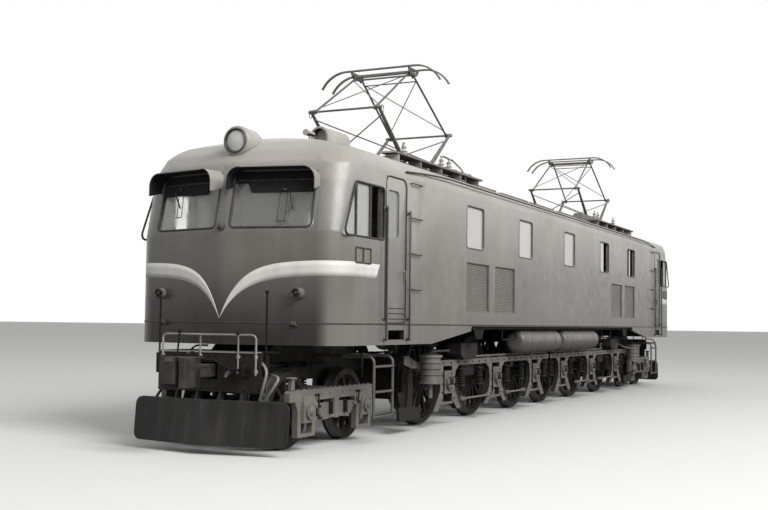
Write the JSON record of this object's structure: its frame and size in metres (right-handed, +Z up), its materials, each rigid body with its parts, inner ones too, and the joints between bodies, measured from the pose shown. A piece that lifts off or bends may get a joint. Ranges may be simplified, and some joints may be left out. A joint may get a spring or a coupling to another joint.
{
  "type": "streamlined express electric locomotive",
  "caption": "Full-size streamlined electric locomotive with V nose cabs at both ends, diamond pantographs, snow ploughs, and driving and leading wheels in yawing trucks.",
  "frame": {"origin": "centre of the bounding box at its lowest face, where the wheel flange tips stand", "axes": "+X forward towards the front cab, +Y to the left side, +Z up"},
  "size_m": [19.9, 2.902, 5.1975],
  "materials": {
    "body_paint": "satin",
    "roof_paint": "matt",
    "frame_paint": "matt",
    "tank_paint": "satin",
    "wheel_steel": "matt",
    "cast_iron": "matt",
    "pantograph_metal": "satin",
    "machinery_paint": "matt",
    "interior_paint": "satin",
    "glass": "gloss"
  },
  "bodies": {
    "carbody": {"cab_front": "body_paint", "cab_rear": "body_paint", "side_wall_left": "body_paint", "side_wall_right": "body_paint", "roof": "roof_paint", "underframe": "frame_paint", "windscreens": "glass", "side_glass": "glass", "air_intakes": "body_paint", "visors": "body_paint", "lamps": "body_paint", "lamp_lenses": "glass", "handrails": "frame_paint", "air_tanks": "tank_paint", "roof_gear": "roof_paint", "machinery_block": "machinery_paint", "cab_fittings": "interior_paint", "pantograph_bases": "pantograph_metal"},
    "truck_front": {"truck_frame_front": "frame_paint", "end_deck_front": "frame_paint", "plough_front": "frame_paint", "coupler_front": "cast_iron", "running_gear_front": "frame_paint", "traction_motors_front": "machinery_paint"},
    "lead_truck_front": {"lead_truck_front": "frame_paint"},
    "driver_1_front": {"wheelset_driver_1_front": "wheel_steel"},
    "driver_2_front": {"wheelset_driver_2_front": "wheel_steel"},
    "driver_3_front": {"wheelset_driver_3_front": "wheel_steel"},
    "leader_1_front": {"wheelset_leader_1_front": "wheel_steel"},
    "leader_2_front": {"wheelset_leader_2_front": "wheel_steel"},
    "door_front_left": {"door_front_left": "body_paint"},
    "door_front_right": {"door_front_right": "body_paint"},
    "panto_lower_outer_front": {"panto_lower_outer_front": "pantograph_metal"},
    "panto_lower_inner_front": {"panto_lower_inner_front": "pantograph_metal"},
    "panto_upper_outer_front": {"panto_upper_outer_front": "pantograph_metal"},
    "panto_upper_inner_front": {"panto_upper_inner_front": "pantograph_metal"},
    "panto_head_front": {"panto_head_front": "pantograph_metal"},
    "truck_rear": {"truck_frame_rear": "frame_paint", "end_deck_rear": "frame_paint", "plough_rear": "frame_paint", "coupler_rear": "cast_iron", "running_gear_rear": "frame_paint", "traction_motors_rear": "machinery_paint"},
    "lead_truck_rear": {"lead_truck_rear": "frame_paint"},
    "driver_1_rear": {"wheelset_driver_1_rear": "wheel_steel"},
    "driver_2_rear": {"wheelset_driver_2_rear": "wheel_steel"},
    "driver_3_rear": {"wheelset_driver_3_rear": "wheel_steel"},
    "leader_1_rear": {"wheelset_leader_1_rear": "wheel_steel"},
    "leader_2_rear": {"wheelset_leader_2_rear": "wheel_steel"},
    "door_rear_left": {"door_rear_left": "body_paint"},
    "door_rear_right": {"door_rear_right": "body_paint"},
    "panto_lower_outer_rear": {"panto_lower_outer_rear": "pantograph_metal"},
    "panto_lower_inner_rear": {"panto_lower_inner_rear": "pantograph_metal"},
    "panto_upper_outer_rear": {"panto_upper_outer_rear": "pantograph_metal"},
    "panto_upper_inner_rear": {"panto_upper_inner_rear": "pantograph_metal"},
    "panto_head_rear": {"panto_head_rear": "pantograph_metal"}
  },
  "joints": [
    {"name": "truck_front_yaw", "type": "hinge", "parent": "carbody", "child": "truck_front", "pos_m": [3.81, 0, 1.3565], "axis": [0, 0, 1], "range_deg": [-2, 2]},
    {"name": "lead_truck_front_yaw", "type": "hinge", "parent": "truck_front", "child": "lead_truck_front", "pos_m": [7.845, 0, 0.763], "axis": [0, 0, 1], "range_deg": [-3, 3]},
    {"name": "driver_1_front_spin", "type": "hinge", "parent": "truck_front", "child": "driver_1_front", "pos_m": [0.84, 0, 0.652], "axis": [0, 1, 0], "continuous": true},
    {"name": "driver_2_front_spin", "type": "hinge", "parent": "truck_front", "child": "driver_2_front", "pos_m": [2.82, 0, 0.652], "axis": [0, 1, 0], "continuous": true},
    {"name": "driver_3_front_spin", "type": "hinge", "parent": "truck_front", "child": "driver_3_front", "pos_m": [4.8, 0, 0.652], "axis": [0, 1, 0], "continuous": true},
    {"name": "leader_1_front_spin", "type": "hinge", "parent": "lead_truck_front", "child": "leader_1_front", "pos_m": [7.13, 0, 0.457], "axis": [0, 1, 0], "continuous": true},
    {"name": "leader_2_front_spin", "type": "hinge", "parent": "lead_truck_front", "child": "leader_2_front", "pos_m": [8.56, 0, 0.457], "axis": [0, 1, 0], "continuous": true},
    {"name": "door_front_left_hinge", "type": "hinge", "parent": "carbody", "child": "door_front_left", "pos_m": [7.643, 1.34, 2.327], "axis": [0, 0, 1], "range_deg": [0, 88]},
    {"name": "door_front_right_hinge", "type": "hinge", "parent": "carbody", "child": "door_front_right", "pos_m": [7.643, -1.34, 2.327], "axis": [0, 0, -1], "range_deg": [0, 88]},
    {"name": "panto_front_raise", "type": "hinge", "parent": "carbody", "child": "panto_lower_outer_front", "pos_m": [5.35, 0, 3.807], "axis": [0, -1, 0], "range_deg": [-36.5, 8]},
    {"name": "panto_front_lower_inner", "type": "hinge", "parent": "carbody", "child": "panto_lower_inner_front", "pos_m": [4.35, 0, 3.807], "axis": [0, 1, 0], "range_deg": [-36.6, 8.1]},
    {"name": "panto_front_upper_outer", "type": "hinge", "parent": "panto_lower_outer_front", "child": "panto_upper_outer_front", "pos_m": [6.10267, 0, 4.38664], "axis": [0, -1, 0], "range_deg": [-14.2, 64.4]},
    {"name": "panto_front_upper_inner", "type": "hinge", "parent": "panto_lower_inner_front", "child": "panto_upper_inner_front", "pos_m": [3.59733, 0, 4.38664], "axis": [0, 1, 0], "range_deg": [-14.2, 64.4]},
    {"name": "panto_front_head", "type": "hinge", "parent": "panto_upper_outer_front", "child": "panto_head_front", "pos_m": [4.93, 0, 5.10459], "axis": [0, -1, 0], "range_deg": [-27.9, 6.2]},
    {"name": "truck_rear_yaw", "type": "hinge", "parent": "carbody", "child": "truck_rear", "pos_m": [-3.81, 0, 1.3565], "axis": [0, 0, 1], "range_deg": [-2, 2]},
    {"name": "lead_truck_rear_yaw", "type": "hinge", "parent": "truck_rear", "child": "lead_truck_rear", "pos_m": [-7.845, 0, 0.763], "axis": [0, 0, 1], "range_deg": [-3, 3]},
    {"name": "driver_1_rear_spin", "type": "hinge", "parent": "truck_rear", "child": "driver_1_rear", "pos_m": [-0.84, 0, 0.652], "axis": [0, 1, 0], "continuous": true},
    {"name": "driver_2_rear_spin", "type": "hinge", "parent": "truck_rear", "child": "driver_2_rear", "pos_m": [-2.82, 0, 0.652], "axis": [0, 1, 0], "continuous": true},
    {"name": "driver_3_rear_spin", "type": "hinge", "parent": "truck_rear", "child": "driver_3_rear", "pos_m": [-4.8, 0, 0.652], "axis": [0, 1, 0], "continuous": true},
    {"name": "leader_1_rear_spin", "type": "hinge", "parent": "lead_truck_rear", "child": "leader_1_rear", "pos_m": [-7.13, 0, 0.457], "axis": [0, 1, 0], "continuous": true},
    {"name": "leader_2_rear_spin", "type": "hinge", "parent": "lead_truck_rear", "child": "leader_2_rear", "pos_m": [-8.56, 0, 0.457], "axis": [0, 1, 0], "continuous": true},
    {"name": "door_rear_left_hinge", "type": "hinge", "parent": "carbody", "child": "door_rear_left", "pos_m": [-7.643, 1.34, 2.327], "axis": [0, 0, -1], "range_deg": [0, 88]},
    {"name": "door_rear_right_hinge", "type": "hinge", "parent": "carbody", "child": "door_rear_right", "pos_m": [-7.643, -1.34, 2.327], "axis": [0, 0, 1], "range_deg": [0, 88]},
    {"name": "panto_rear_raise", "type": "hinge", "parent": "carbody", "child": "panto_lower_outer_rear", "pos_m": [-5.35, 0, 3.807], "axis": [0, 1, 0], "range_deg": [-36.5, 8]},
    {"name": "panto_rear_lower_inner", "type": "hinge", "parent": "carbody", "child": "panto_lower_inner_rear", "pos_m": [-4.35, 0, 3.807], "axis": [0, -1, 0], "range_deg": [-36.6, 8.1]},
    {"name": "panto_rear_upper_outer", "type": "hinge", "parent": "panto_lower_outer_rear", "child": "panto_upper_outer_rear", "pos_m": [-6.10267, 0, 4.38664], "axis": [0, 1, 0], "range_deg": [-14.2, 64.4]},
    {"name": "panto_rear_upper_inner", "type": "hinge", "parent": "panto_lower_inner_rear", "child": "panto_upper_inner_rear", "pos_m": [-3.59733, 0, 4.38664], "axis": [0, -1, 0], "range_deg": [-14.2, 64.4]},
    {"name": "panto_rear_head", "type": "hinge", "parent": "panto_upper_outer_rear", "child": "panto_head_rear", "pos_m": [-4.93, 0, 5.10459], "axis": [0, 1, 0], "range_deg": [-27.9, 6.2]}
  ],
  "couplings": [
    {"joint": "panto_front_lower_inner", "follows": "panto_front_raise", "ratio": 1},
    {"joint": "panto_front_upper_outer", "follows": "panto_front_raise", "ratio": -1.76},
    {"joint": "panto_front_upper_inner", "follows": "panto_front_raise", "ratio": -1.76},
    {"joint": "panto_front_head", "follows": "panto_front_raise", "ratio": 0.76},
    {"joint": "panto_rear_lower_inner", "follows": "panto_rear_raise", "ratio": 1},
    {"joint": "panto_rear_upper_outer", "follows": "panto_rear_raise", "ratio": -1.76},
    {"joint": "panto_rear_upper_inner", "follows": "panto_rear_raise", "ratio": -1.76},
    {"joint": "panto_rear_head", "follows": "panto_rear_raise", "ratio": 0.76},
    {"joint": "truck_rear_yaw", "follows": "truck_front_yaw", "ratio": -1}
  ]
}
